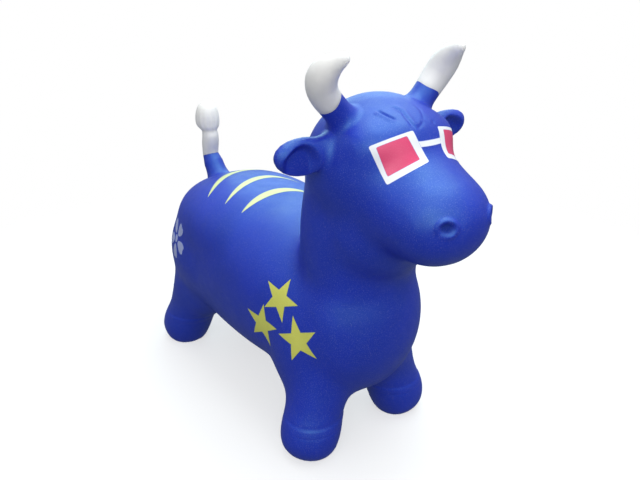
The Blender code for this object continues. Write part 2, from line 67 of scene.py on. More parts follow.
# The forms that the solids are made of, as (centre, size, fullness), measured from the front hoofs
VALVE_BACK = 0.180
MIDDLE_FORMS = {
    "trunk": ((0.0, 0.173, 0.170), (0.212, 0.466, 0.208), 2.3),
    "rump": ((0.0, 0.268, 0.168), (0.222, 0.258, 0.198), 2.0),
    "saddle": ((0.0, 0.230, 0.212), (0.208, 0.280, 0.140), 2.4),
    "chest": ((0.0, 0.005, 0.172), (0.166, 0.140, 0.200), 2.0),
    "neck": ((0.0, 0.003, 0.280), (0.144, 0.122, 0.300), 2.0),
    "jowl": ((0.0, -0.036, 0.306), (0.132, 0.104, 0.120), 2.0),
    "cranium": ((0.0, -0.020, 0.371), (0.156, 0.148, 0.146), 2.0),
    "brow": ((0.0, -0.053, 0.402), (0.136, 0.075, 0.062), 2.0),
    "face": ((0.0, -0.070, 0.345), (0.122, 0.132, 0.110), 2.0),
    "muzzle": ((0.0, -0.107, 0.336), (0.114, 0.104, 0.094), 2.0),
}
PAIRED_FORMS = {
    "shoulder": ((0.054, 0.036, 0.141), (0.086, 0.108, 0.170), 2.0),
    "thigh": ((0.061, 0.300, 0.114), (0.085, 0.106, 0.117), 2.0),
}

# Legs, as (foot, top), and their radii, as (radius, height along the leg)
LEGS = {
    "front": ((0.083, 0.000, -0.0039), (0.045, 0.016, 0.115)),
    "rear": ((0.087, 0.354, -0.0039), (0.063, 0.302, 0.115)),
}
LEG_RADII = ((0.0136, 0.0), (0.024, 0.00195), (0.0331, 0.0091), (0.037, 0.0208), (0.037, 0.048),
             (0.034, 0.063))
LEG_ROOT_RADIUS = 0.043

# How the forms are divided, fused, softened, swollen again and thinned out
ROUND_STEPS = 32
VOXEL = 0.005
SOFTENING = 60
SOFTENING_FACTOR = 0.5
REFILL = 0.003
FINER_LEVELS = 2
SKIN_SHARE = 0.24

# The right nostril, which the left one mirrors; its lip is (angle, height)
NOSTRIL = (-0.0302, -0.2730, 0.3450)
NOSTRIL_NORMAL = (-0.50, -0.84, 0.22)
NOSTRIL_RING = (0.0092, 0.0078)
NOSTRIL_RING_WIDTH = 0.30
NOSTRIL_HOLE = (0.0056, 0.0041)
NOSTRIL_HOLE_RISE = 0.0006
NOSTRIL_DEPTH = 0.0030
NOSTRIL_REACH = 0.03
# Painted shade inside the nostrils: how far the colour is darkened, the dark colour as a share of the blue,
# and how much rougher it is there
NOSTRIL_PAINTED_SHADE = 0.45
NOSTRIL_PAINTED_DARK = 0.1
NOSTRIL_DULL = 0.5
NOSTRIL_LIP = ((0, 0.0016), (45, 0.0028), (90, 0.0032), (135, 0.0028), (180, 0.0018), (210, 0.0015),
               (240, 0.0016), (272, 0.0007), (298, 0.0006), (325, 0.0004), (360, 0.0016))

# Creases of the forelock, as (points, depth); their lips are in widths of the crease
CREASES = (
    (((-0.0282, -0.1710, 0.4354), (-0.0281, -0.1762, 0.4339), (-0.0264, -0.1837, 0.4319),
      (-0.0241, -0.1903, 0.4298), (-0.0223, -0.1943, 0.4282)), 0.0022),
    (((-0.0094, -0.2078, 0.4196), (-0.0114, -0.2028, 0.4244), (-0.0113, -0.1980, 0.4279),
      (-0.0108, -0.1922, 0.4311), (-0.0093, -0.1849, 0.4344), (-0.0119, -0.1791, 0.4364),
      (-0.0152, -0.1739, 0.4378)), 0.0013),
    (((0.0052, -0.2020, 0.4254), (-0.0010, -0.2050, 0.4230), (-0.0080, -0.2070, 0.4206)), 0.0006),
    (((0.0150, -0.1790, 0.4363), (0.0140, -0.1880, 0.4328), (0.0100, -0.1963, 0.4290),
      (0.0042, -0.2028, 0.4249)), 0.0004),
    (((0.0186, -0.2007, 0.4249), (0.0178, -0.2030, 0.4232), (0.0165, -0.2050, 0.4215)), 0.0006),
)
CREASE_WIDTH = 0.0016
CREASE_FADE = 0.22
CREASE_LIP_SHARE = 0.45
CREASE_LIP_OFFSET = 2.2
CREASE_LIP_WIDTH = 1.6
CREASE_REACH = 0.05

# Lines round the hoofs, by height, and the boss of the valve
HOOF_LINE = 0.0515
HOOF_LINE_DEPTH = 0.0006
HOOF_LINE_WIDTH = 0.0016
HOOF_LOW_LINE = 0.0425
HOOF_LOW_SHARE = 0.4
HOOF_LOW_WIDTH = 0.0012
HOOF_LOW_FRONT = (0.1, 0.6)
HOOF_GROOVE_SHARE = 0.5
HOOF_GROOVE_WIDTH = 0.002
HOOF_FRONT = (-0.75, 0.1)
HOOF_SOLE_FADE = (0.012, 0.040)
HOOF_REACH = 0.062
BELLY_TOP = 0.1
VALVE_FACE = 0.0621
VALVE_BOSS = 0.0205
VALVE_FILLET = 0.007
VALVE_HOLE = 0.0113
VALVE_HOLE_DEPTH = 0.018

# Horns; rows are those of the root and the end, and radii go by the share of the length
HORN_ROWS = (6, 30)
HORN_LEAN = 43.0
HORN_TIP = (0.007, -0.036, 0.0455)
HORN_ARRIVAL = (-0.30, -0.88, 0.36)
HORN_RISE_SHARE = 0.52
HORN_SWEEP_SHARE = 0.46
HORN_PAINT = {"left": -0.0040, "right": 0.0}
HORN_ROOT = 0.0105
HORN_RADII = ((0.0, 0.0141), (0.2, 0.0150), (0.4, 0.0152), (0.55, 0.0143), (0.7, 0.0119), (0.82, 0.0089),
              (0.92, 0.0064), (0.975, 0.0044), (0.993, 0.0028), (1.0, 0.0012))
HORN_FLARE = 0.0085
HORN_WAVE = 0.0012
HORN_WAVE_TURN = 0.6
HORN_WAVE_THIRD = 0.5
HORN_WAVE_ROWS = 5

# Ears; radii are upwards and backwards
EAR_ROWS = 34
EAR_RADII = ((0.0, 0.0176, 0.0116), (0.14, 0.0187, 0.0120), (0.28, 0.0192, 0.0123), (0.46, 0.0186, 0.0121),
             (0.64, 0.0168, 0.0110), (0.80, 0.0136, 0.0092), (0.92, 0.0091, 0.0064), (0.975, 0.0052, 0.0038),
             (1.0, 0.0012, 0.0010))
EAR_ROOT = 0.0030
EAR_TIP = {"left": 0.0530, "right": 0.0500}
EAR_FLARE = 0.0085
EAR_LIFT = {"left": 0.0060, "right": 0.0028}
EAR_DISH_MIDDLE = (0.022, -0.30)
EAR_DISH_REACH = (0.019, 0.0245, 1.16)
EAR_DISH_FADE = (1.0, 0.60)
EAR_DISH_SHARE = 0.90

# Tail with its tuft
TAIL_ROWS = (9, 44)
TAIL_LEAN = 36.0
TAIL_ROOT = 0.0135
TAIL_PAINT = 0.0010
TAIL_TILT = 21.0
TAIL_TURN = 0.28
TAIL_BASE_RADIUS = 0.0150
TAIL_RADII = ((0.0, 0.0122), (0.12, 0.0127), (0.25, 0.0131), (0.38, 0.0125), (0.47, 0.0115), (0.495, 0.0124),
              (0.53, 0.0155), (0.59, 0.0174), (0.67, 0.0180), (0.76, 0.0176), (0.84, 0.0163), (0.90, 0.0145),
              (0.95, 0.0118), (0.985, 0.0078), (1.0, 0.0020))
TAIL_LENGTH = 0.0838
TAIL_STOOP = 0.0045
TAIL_STOOP_SPAN = (0.0, 0.5)
TAIL_SWAY = 0.0065
TAIL_SWAY_SPAN = (0.36, 0.62)
TAIL_FLARE = 0.0080
TUFT_FLUTES = 13
TUFT_FLUTE_DEPTH = 0.085
TUFT_FLUTE_LEVEL = 0.6
TUFT_START = (0.49, 0.56)
TUFT_END = (0.98, 0.62)

# Roots of the horns, the ears and the tail, and their paint
RING_STEPS = 56
FLARE_RINGS = 12
FLARE_SPACING = 1.5
FLARE_CAST = 0.03
FLARE_SLOPE = 0.15
FLARE_BEND = (0.35, 1.1)
FLARE_SINK = 0.00008
SKIRT = 0.0016
CAP_DEPTH = 0.003
PAINT_STEP = 0.00012

# Painted figures; rows are shares of an outline that is drawn in, and lanes are shares of half a width
PAINT_LIFT = 0.00022
PAINT_SINK = 0.00020
PAINT_MIDDLE = 0.003
PAINT_SHARP = 50.0
CAST_REACH = 0.060

# Stars, as (name, centre, normal, radius, turn)
STARS = (
    ("upper", (-0.0887, -0.0821, 0.2055), (-0.92, -0.24, 0.32), 0.0282, 34.0),
    ("rear", (-0.0997, -0.0571, 0.1625), (-0.99, -0.16, -0.02), 0.0292, 24.0),
    ("lower", (-0.0889, -0.1183, 0.1668), (-0.92, -0.36, 0.14), 0.0300, 69.0),
)
STAR_POINTS = 5
STAR_INNER_SHARE = 0.40
STAR_SIDE_STEPS = 8
STAR_ROWS = (1.0, 0.96, 0.9, 0.8, 0.6, 0.4, 0.2, 0.03)

# Stripes, as (name, handles of a curve seen from above)
STRIPES = (
    ("rear", ((-0.072, 0.121), (-0.040, 0.146), (0.014, 0.202), (0.054, 0.152))),
    ("middle", ((-0.068, 0.079), (-0.025, 0.103), (0.030, 0.141), (0.052, 0.078))),
    ("front", ((-0.063, 0.044), (-0.028, 0.053), (0.020, 0.071), (0.046, 0.032))),
)
STRIPE_THICKNESS = 0.0125
STRIPE_FULLNESS = 0.9
STRIPE_TIP = 0.0003
STRIPE_LEVEL = 0.30
STRIPE_STEPS = 64
STRIPE_LANES = (-1.0, -0.85, -0.5, 0.0, 0.5, 0.85, 1.0)

# Flower
FLOWER = (-0.1050, 0.1680, 0.1990)
FLOWER_NORMAL = (-0.955, 0.20, 0.22)
FLOWER_TURN = 270.0
FLOWER_STEPS = 40
PETALS = 5
PETAL_OUT = 0.0200
PETAL_LENGTH = 0.0236
PETAL_WIDTH = 0.0207
PETAL_FULLNESS = 0.80
PETAL_FLARE = 0.26
PETAL_NOTCH = 0.0030
PETAL_NOTCH_SPAN = 0.35
PETAL_ROWS = (1.0, 0.94, 0.82, 0.55, 0.28, 0.05)
FLOWER_DOT = (0.0051, 0.0062)
FLOWER_DOT_ROWS = (1.0, 0.85, 0.5, 0.1)

# Glasses; the bridge is given sideways and upwards
LENS_CENTRE = (-0.033, -0.210, 0.399)
LENS_NORMAL = (-0.548, -0.728, 0.411)
LENS_OUTER = ((-0.0295, 0.0081), (0.0135, 0.0251), (0.0287, -0.0049), (-0.0117, -0.0276))
LENS_INNER = ((-0.0222, 0.0071), (0.0072, 0.0189), (0.0197, -0.0029), (-0.0109, -0.0194))
LENS_SIDE_STEPS = 24
LENS_ROUNDING = 1
LENS_ROWS = (1.0, 0.97, 0.9, 0.75, 0.55, 0.35, 0.15, 0.03)
FRAME_ROWS = (0.0, 0.15, 0.5, 0.85, 1.0)
FAR_LENS_SHIFT = (0.0065, 0.0, -0.001)
BRIDGE_NEAR = (-0.0118, 0.4078)
BRIDGE_FAR = (0.0186, 0.4068)
BRIDGE_WIDTH = 0.0052
BRIDGE_STEPS = 24
BRIDGE_LANES = (-1.0, -0.5, 0.0, 0.5, 1.0)
FACE_FRONT = -0.32

# Colours, in linear light
BLUE = (0.005, 0.010, 0.38)
BLUE_GLOSS = (0.42, 1.0, 1.0)
WHITE = (0.76, 0.745, 0.715)
YELLOW = (0.58, 0.59, 0.105)
PALE_YELLOW = (0.58, 0.63, 0.31)
RED = (0.63, 0.042, 0.140)
LILAC = (0.36, 0.41, 0.66)
FRAME_WHITE = (0.74, 0.76, 0.79)
EDGE_OLIVE = (0.16, 0.22, 0.10)
EDGE_PALE = (0.34, 0.42, 0.30)
EDGE_BLUE = (0.20, 0.27, 0.62)
VALVE_COLOUR = (0.80, 0.80, 0.78)

# Finish of the plastics; a noise is (scale, detail), with a third number for its roughness
NOISE_BAND = (0.3, 0.7)
TONE_NOISE = (16.0, 4.0, 0.6)
TONE_SPAN = (0.90, 1.08)
SPECK_NOISE = (1300.0, 1.0)
SPECK_BAND = (0.56, 0.74)
SPECK_LIGHT = 0.35
RIM_NOISE = (700.0, 2.0)
RIM_SPAN = (0.6, 1.4)
ROUGH_NOISE = (60.0, 3.0)
ROUGH_SPREAD = 0.05
COARSE_NOISE = (900.0, 2.0)
FINE_NOISE = (2600.0, 1.0)
GRAIN_HEIGHT = 0.0003
VALVE_EDGE = 0.0004
VALVE_EDGE_STEPS = 3

# Camera and studio
CAMERA_PLACE = (-0.420, -0.4763, 0.5586)
CAMERA_AZIMUTH = -37.0
CAMERA_ELEVATION = 24.3
FOCAL_PIXELS = 599.0
IMAGE_WIDTH = 640.0
SENSOR = 36.0
FLOOR_SIZE = 12.0
FLOOR_ROUGHNESS = 0.8
FLOOR_GLOSS = 0.1
FLOOR_FADE = (0.42, 0.95)
FLOOR_CLEAR = 0.60
FLOOR_DROP = 0.0005
FLOOR_COLOUR = (0.93, 0.93, 0.93)
FLOOR_BOUNCE = (0.22, 0.22, 0.24)
BACKDROP = (1.0, 1.0, 1.0)
SKY_BAND = (-0.1, 0.9)
SKY_LOW = (0.20, 0.22, 0.26)
SKY_HIGH = (0.95, 0.97, 1.0)
SKY_STRENGTH = 0.95

# Lamps, as (name, place, target, size, power in watts, colour)
LAMPS = (
    ("overhead", (0.25, -0.05, 1.5), (0.0, 0.0, 0.2), (1.1, 1.1), 13.5, (0.92, 1.0, 1.0)),
    ("front", (-0.2, -1.6, 1.0), (0.0, 0.0, 0.25), (1.2, 1.0), 5.0, (1.0, 1.0, 1.0)),
    ("fill", (-1.0, -1.0, 1.1), (0.0, -0.1, 0.35), (1.0, 1.0), 8.5, (1.0, 1.0, 1.0)),
    ("rear", (1.0, 1.3, 1.1), (0.0, 0.0, 0.35), (1.4, 0.9), 11.0, (0.55, 0.95, 1.0)),
)


def joint_place(name):
    return Vector(JOINTS[name]["pos_m"])


BASE_Y = joint_place("plug_pull").y - VALVE_BACK


def smoothstep(low, high, value):
    share = np.clip((value - low) / (high - low), 0.0, 1.0)
    return share * share * (3.0 - 2.0 * share)


def turns(count):
    """The angles of a full circle in equal steps, in radians."""
    return [2 * math.pi * step / count for step in range(count)]


def eased(rows):
    """Shares from 0 to 1 that come closer together towards the end."""
    return [math.sin(math.pi / 2 * row / rows) for row in range(rows + 1)]


def middle_of(points):
    return sum(points, Vector((0, 0, 0))) / len(points)


def link(obj):
    bpy.context.scene.collection.objects.link(obj)
    return obj


def object_of(name, bm):
    """A new object from a bmesh, which is freed."""
    mesh = bpy.data.meshes.new(name)
    bm.to_mesh(mesh)
    bm.free()
    return link(bpy.data.objects.new(name, mesh))


def aim(obj, place, direction):
    """Put a camera or a lamp in a place and point it."""
    obj.location = place
    obj.rotation_mode = "QUATERNION"
    obj.rotation_quaternion = direction.to_track_quat("-Z", "Y")


def settle(obj):
    """Apply an object's modifiers to its mesh."""
    bpy.context.view_layer.update()
    graph = bpy.context.evaluated_depsgraph_get()
    mesh = bpy.data.meshes.new_from_object(obj.evaluated_get(graph))
    obj.modifiers.clear()
    obj.data = mesh


def add_ellipsoid(bm, centre, size, fullness):
    made = bmesh.ops.create_uvsphere(bm, u_segments=ROUND_STEPS, v_segments=ROUND_STEPS // 2, radius=1.0)
    for vert in made["verts"]:
        total = sum(abs(value) ** fullness for value in vert.co)
        vert.co *= total ** (-1.0 / fullness)
        vert.co = Vector([middle + part * span / 2 for middle, part, span in zip(centre, vert.co, size)])


def add_leg(bm, foot, top):
    length = (Vector(top) - Vector(foot)).length
    turn = (Vector(top) - Vector(foot)).to_track_quat("Z", "Y").to_matrix().to_4x4()
    place = Matrix.Translation(foot) @ turn
    rings = []
    for radius, height in LEG_RADII + ((LEG_ROOT_RADIUS, length),):
        ring = []
        for angle in turns(ROUND_STEPS):
            spot = Vector((radius * math.cos(angle), radius * math.sin(angle), height))
            ring.append(bm.verts.new(place @ spot))
        rings.append(ring)
    verts = [vert for ring in rings for vert in ring]
    for face in strip_faces(rings):
        bm.faces.new([verts[corner] for corner in face])
    bm.faces.new(list(reversed(rings[0])))
    bm.faces.new(rings[-1])


def body_form():
    """The inflated body without horns, ears and tail, finely divided."""
    bm = bmesh.new()
    for centre, size, fullness in MIDDLE_FORMS.values():
        add_ellipsoid(bm, centre, size, fullness)
    for _, sign in SIDES:
        for (x, y, z), size, fullness in PAIRED_FORMS.values():
            add_ellipsoid(bm, (sign * x, y, z), size, fullness)
        for foot, top in LEGS.values():
            add_leg(bm, (sign * foot[0], *foot[1:]), (sign * top[0], *top[1:]))
    obj = object_of("skin", bm)
    remesh = obj.modifiers.new("fuse", "REMESH")
    remesh.mode = "VOXEL"
    remesh.voxel_size = VOXEL
    smooth = obj.modifiers.new("soften", "SMOOTH")
    smooth.factor = SOFTENING_FACTOR
    smooth.iterations = SOFTENING
    refill = obj.modifiers.new("refill", "DISPLACE")
    refill.strength = REFILL
    refill.mid_level = 0.0
    finer = obj.modifiers.new("finer", "SUBSURF")
    finer.levels = FINER_LEVELS
    finer.render_levels = FINER_LEVELS
    settle(obj)
    obj.data.transform(Matrix.Translation((0, BASE_Y, 0)))
    return obj


def read_points(mesh):
    points = np.zeros(len(mesh.vertices) * 3, np.float32)
    mesh.vertices.foreach_get("co", points)
    normals = np.zeros(len(mesh.vertices) * 3, np.float32)
    mesh.vertices.foreach_get("normal", normals)
    return points.reshape(-1, 3).astype(float), normals.reshape(-1, 3).astype(float)


def write_points(mesh, points):
    mesh.vertices.foreach_set("co", points.astype(np.float32).ravel())
    mesh.update()


def tangent_frame(normal):
    """Outward normal, sideways and upward directions on a wall that faces along a normal."""
    out = Vector(normal).normalized()
    side = UP.cross(out).normalized()
    return out, side, out.cross(side)


def nostril_map(points, sign):
    """Places round a nostril: outward and upward distances, depth in the hole from 0 to 1, and nearness."""
    centre = np.array(NOSTRIL) * (-sign, 1, 1)
    _, side, rise = tangent_frame(np.array(NOSTRIL_NORMAL) * (-sign, 1, 1))
    offset = points - centre
    across = offset @ np.array(side) * sign
    upward = offset @ np.array(rise)
    inside = np.hypot(across / NOSTRIL_HOLE[0], (upward - NOSTRIL_HOLE_RISE) / NOSTRIL_HOLE[1])
    near = np.linalg.norm(offset, axis=1) < NOSTRIL_REACH
    return across, upward, np.where(near, np.exp(-inside ** 4), 0.0), near


def nostril_relief(points, sign):
    """Height of a nostril above the skin: an uneven lip round a hole."""
    across, upward, hole, near = nostril_map(points, sign)
    radius = np.hypot(across / NOSTRIL_RING[0], upward / NOSTRIL_RING[1])
    angle = np.degrees(np.arctan2(upward, across)) % 360
    lip = np.interp(angle, *zip(*NOSTRIL_LIP)) * np.exp(-((radius - 1) / NOSTRIL_RING_WIDTH) ** 2)
    return np.where(near, lip, 0.0) - NOSTRIL_DEPTH * hole


def crease_relief(points, normals, line, deep):
    """Depth of a crease along a line of points, with a lip on its right-hand side, fading at its ends."""
    line = np.array(line)
    lengths = np.linalg.norm(np.diff(line, axis=0), axis=1)
    total = lengths.sum()
    best = np.full(len(points), 1.0)
    lateral = np.zeros(len(points))
    share = np.zeros(len(points))
    done = 0.0
    for start, end, length in zip(line, line[1:], lengths):
        along = (end - start) / length
        reach = np.clip((points - start) @ along, 0.0, length)
        gap = points - (start + reach[:, None] * along)
        gap -= np.sum(gap * normals, axis=1)[:, None] * normals
        distance = np.linalg.norm(gap, axis=1)
        closer = distance < best
        best = np.where(closer, distance, best)
        hand = np.sum(np.cross(along, normals) * gap, axis=1)
        lateral = np.where(closer, np.sign(hand) * distance, lateral)
        share = np.where(closer, (done + reach) / total, share)
        done += length
    fade = smoothstep(0.0, CREASE_FADE, share) * smoothstep(0.0, CREASE_FADE, 1 - share)
    groove = -deep * np.exp(-(best / CREASE_WIDTH) ** 2)
    aside = (lateral / CREASE_WIDTH - CREASE_LIP_OFFSET) / CREASE_LIP_WIDTH
    lip = CREASE_LIP_SHARE * deep * np.exp(-aside ** 2)
    near = np.linalg.norm(points - line.mean(axis=0), axis=1) < CREASE_REACH
    return np.where(near, (groove + lip) * fade, 0.0)


def hoof_relief(points):
    """A ledge round the top of each hoof and a fainter line below it, fading towards the back of the leg."""
    height = np.zeros(len(points))
    for foot, top in LEGS.values():
        for _, sign in SIDES:
            centre = np.array((sign * foot[0], foot[1] + BASE_Y, 0.0))
            lean = np.array((sign * top[0], top[1] + BASE_Y, top[2])) - centre
            share = points[:, 2:3] / top[2]
            offset = (points - centre - share * lean)[:, :2]
            distance = np.linalg.norm(offset, axis=1)
            forward = -offset[:, 1] / np.maximum(distance, TINY_LENGTH)
            window = smoothstep(*HOOF_FRONT, forward) * (distance < HOOF_REACH)
            level = points[:, 2]
            ledge = smoothstep(HOOF_LINE + HOOF_LINE_WIDTH, HOOF_LINE - HOOF_LINE_WIDTH, level)
            ledge = ledge * smoothstep(*HOOF_SOLE_FADE, level) * HOOF_LINE_DEPTH
            above = (level - HOOF_LINE - 2 * HOOF_LINE_WIDTH) / HOOF_GROOVE_WIDTH
            groove = -HOOF_GROOVE_SHARE * HOOF_LINE_DEPTH * np.exp(-above ** 2)
            beside = (level - HOOF_LOW_LINE) / HOOF_LOW_WIDTH
            low = -HOOF_LOW_SHARE * HOOF_LINE_DEPTH * np.exp(-beside ** 2)
            low = low * smoothstep(*HOOF_LOW_FRONT, forward)
            height += window * (ledge + groove + low)
    return height


def valve_boss(points):
    """Flatten the belly to a boss with a hole up into it, where the valve sits."""
    place = joint_place("plug_pull")
    radius = np.hypot(points[:, 0] - place.x, points[:, 1] - place.y)
    below = points[:, 2] < BELLY_TOP
    share = np.where(below, 1 - smoothstep(VALVE_BOSS, VALVE_BOSS + VALVE_FILLET, radius), 0.0)
    points[:, 2] += share * (VALVE_FACE - points[:, 2])
    points[:, 2] += np.where(below & (radius < VALVE_HOLE), VALVE_HOLE_DEPTH, 0.0)


def skin_piece():
    """The whole moulded skin, with nostrils, forelock, hoof lines and the boss for the valve."""
    obj = body_form()
    points, normals = read_points(obj.data)
    relief = hoof_relief(points)
    for _, sign in SIDES:
        relief += nostril_relief(points, sign)
    for line, deep in CREASES:
        relief += crease_relief(points, normals, line, deep)
    points += relief[:, None] * normals
    valve_boss(points)
    points[:, 2] = np.maximum(points[:, 2], 0.0)
    write_points(obj.data, points)
    thin = obj.modifiers.new("thin", "DECIMATE")
    thin.ratio = SKIN_SHARE
    settle(obj)
    obj.data.shade_smooth()
    points, normals = read_points(obj.data)
    # Painted shade inside the nostrils, kept as a point attribute for the skin's material
    shade = sum(nostril_map(points, sign)[2] for _, sign in SIDES)
    obj.data.attributes.new("painted_nostril_shade", "FLOAT", "POINT").data.foreach_set("value", shade.astype(np.float32))
    return obj


class Surface:
    """The finished skin, for laying other pieces on it."""

    def __init__(self, mesh):
        points, normals = read_points(mesh)
        self.points = [Vector(point) for point in points]
        self.normals = [Vector(normal) for normal in normals]
        self.faces = [tuple(face.vertices) for face in mesh.polygons]
        self.tree = BVHTree.FromPolygons(self.points, self.faces)

    def smooth_normal(self, spot, index):
        corners = self.faces[index]
        weights = poly_3d_calc([self.points[corner] for corner in corners], spot)
        total = Vector((0, 0, 0))
        for corner, weight in zip(corners, weights):
            total += self.normals[corner] * weight
        return total.normalized()

    def cast(self, origin, direction):
        """The first spot on the skin along a direction, or else the nearest one, and the normal there."""
        spot, _, index, _ = self.tree.ray_cast(origin, direction.normalized())
        if spot is None:
            spot, _, index, _ = self.tree.find_nearest(origin)
        return spot, self.smooth_normal(spot, index)


def strip_faces(rows, closed=True):
    """Four-sided faces between neighbouring rows of points, all round if the rows are closed."""
    count = len(rows[0])
    faces = []
    for row in range(len(rows) - 1):
        low, high = row * count, (row + 1) * count
        for step in range(count if closed else count - 1):
            after = (step + 1) % count
            faces.append((low + step, low + after, high + after, high + step))
    return faces


def solid_of_rings(name, rings, normals, low_cap, high_cap):
    """A closed body through rings of points, with a middle point for each cap."""
    count = len(rings[0])
    verts = [point for ring in rings for point in ring]
    faces = strip_faces(rings)
    given = list(normals)
    for cap, base, order in ((low_cap, 0, -1), (high_cap, (len(rings) - 1) * count, 1)):
        middle = len(verts)
        verts.append(cap)
        given.append(UP)
        for step in range(count):
            after = (step + 1) % count
            pair = (base + step, base + after) if order > 0 else (base + after, base + step)
            faces.append((*pair, middle))
    mesh = bpy.data.meshes.new(name)
    mesh.from_pydata(verts, [], faces)
    mesh.update()
    mesh.shade_smooth()
    mesh.normals_split_custom_set_from_vertices(given)
    return link(bpy.data.objects.new(name, mesh))


def ring_normals(rings):
    """Smooth normals of an open loft."""
    grid = np.array([[tuple(point) for point in ring] for ring in rings])
    around = np.roll(grid, -1, axis=1) - np.roll(grid, 1, axis=1)
    along = np.gradient(grid, axis=0)
    normal = np.cross(around, along)
    size = np.linalg.norm(normal, axis=2, keepdims=True)
    return [[Vector(one) for one in row] for row in normal / np.maximum(size, TINY_AREA)]


def flare_rings(surface, ring, axis, spread):
    """Rings that lead from the foot of a tube down to the skin, tangent to both, the lowest one first."""
    axis = axis.normalized()
    middle = middle_of(ring)
    ends = []
    for point in ring:
        outward = point - middle
        outward = (outward - outward.dot(axis) * axis).normalized()
        ends.append(surface.cast(point + outward * spread + axis * FLARE_CAST, -axis))
    rows = []
    for row in range(1, FLARE_RINGS + 1):
        share = 1 - (1 - row / FLARE_RINGS) ** FLARE_SPACING
        line = []
        for point, (spot, normal) in zip(ring, ends):
            drop = (point - spot).dot(normal) / max(axis.dot(normal), FLARE_SLOPE)
            most = (point - spot).dot(axis)
            drop = min(max(drop, FLARE_BEND[0] * most), FLARE_BEND[1] * most)
            bend = point - axis * drop
            line.append(point * (1 - share) ** 2 + bend * 2 * share * (1 - share) + spot * share ** 2)
        rows.append(line)
    rows[-1] = [spot - normal * FLARE_SINK for spot, normal in ends]
    skirt = [spot - normal * SKIRT for spot, normal in ends]
    rows.reverse()
    return skirt, rows, [normal for spot, normal in ends]


def path_frames(centres, side):
    """Directions along and across a path, carried along it without twist."""
    tangents = np.gradient(np.array([tuple(centre) for centre in centres]), axis=0)
    frames = []
    across = Vector(side)
    for tangent in tangents:
        along = Vector(tangent).normalized()
        across = (across - across.dot(along) * along).normalized()
        frames.append((along, across, along.cross(across)))
    return frames


def limb(name, surface, stations, paint_row, spread, axis, materials):
    """A root and a painted end that grow out of the skin."""
    skirt, flare, ends = flare_rings(surface, stations[0], axis, spread)
    rings = flare + stations
    normals = ring_normals(rings)
    normals[0] = ends
    split = len(flare) + paint_row
    root_rings = [skirt] + rings[:split + 1]
    root_normals = ends + [normal for row in normals[:split + 1] for normal in row]
    middle = middle_of(skirt)
    paint = middle_of(rings[split])
    if split < len(rings) - 1:
        root = solid_of_rings(name + "_root", root_rings, root_normals, middle, paint - axis * CAP_DEPTH)
        lifted = [rings[split]]
        for row in range(split, len(rings)):
            lifted.append([point + normal * PAINT_STEP for point, normal in zip(rings[row], normals[row])])
        end_normals = [normal for row in [normals[split]] + normals[split:] for normal in row]
        end = solid_of_rings(name, lifted, end_normals, paint + axis * CAP_DEPTH, middle_of(lifted[-1]))
        pieces = [(root, materials[0], "blue_skin"), (end, materials[1], "white_skin")]
    else:
        whole = solid_of_rings(name, root_rings, root_normals, middle, middle_of(rings[-1]))
        pieces = [(whole, materials[0], "blue_skin")]
    for obj, material, slot in pieces:
        obj.data.materials.append(material)
        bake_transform(obj)
    return [obj for obj, material, slot in pieces]


def spaced(table, share, column=1):
    """A value from a table of (share, value) rows, straight between two rows."""
    shares = [row[0] for row in table]
    values = [row[column] for row in table]
    return float(np.interp(share, shares, values))


def curve_point(handles, t):
    """A point on a cubic curve with four handles."""
    u = 1 - t
    return handles[0] * u ** 3 + handles[1] * 3 * u * u * t + handles[2] * 3 * u * t * t + handles[3] * t ** 3


def horn(side, sign, surface, materials):
    pivot = joint_place("horn_" + side + "_flex")
    lean = math.radians(HORN_LEAN)
    axis = Vector((sign * math.sin(lean), 0, math.cos(lean)))
    start = pivot + axis * HORN_PAINT[side]
    tip = pivot + Vector((sign * HORN_TIP[0], *HORN_TIP[1:]))
    arrival = Vector((sign * HORN_ARRIVAL[0], *HORN_ARRIVAL[1:]))
    length = (tip - start).length
    handles = (start, start + axis * HORN_RISE_SHARE * length, tip - arrival * HORN_SWEEP_SHARE * length, tip)
    root_rows, end_rows = HORN_ROWS
    foot = pivot - axis * HORN_ROOT
    centres = [foot.lerp(start, row / root_rows) for row in range(root_rows)]
    centres += [curve_point(handles, share) for share in eased(end_rows)]
    shares = [0.0] * root_rows + eased(end_rows)
    stations = []
    for row, (centre, (along, across, beside)) in enumerate(zip(centres, path_frames(centres, (0, -1, 0)))):
        radius = spaced(HORN_RADII, shares[row])
        fade = max(0.0, 1 - abs(row - root_rows) / HORN_WAVE_ROWS)
        ring = []
        for angle in turns(RING_STEPS):
            outward = across * math.cos(angle) + beside * math.sin(angle)
            wave = math.sin(2 * angle + HORN_WAVE_TURN) + HORN_WAVE_THIRD * math.sin(3 * angle + sign)
            ring.append(centre + outward * radius + along * (HORN_WAVE * wave * fade))
        stations.append(ring)
    pieces = limb("horn_" + side, surface, stations, root_rows, HORN_FLARE, axis, materials)
    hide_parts("horn_" + side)


def ear_dish(out, rise):
    """How far the front of an ear is hollowed, at a place along it and at a share of its height."""
    along = out - EAR_DISH_MIDDLE[0]
    along /= EAR_DISH_REACH[0] if along < 0 else EAR_DISH_REACH[1]
    upward = max(0.0, rise - EAR_DISH_MIDDLE[1]) / EAR_DISH_REACH[2]
    return float(smoothstep(*EAR_DISH_FADE, math.hypot(along, upward)))


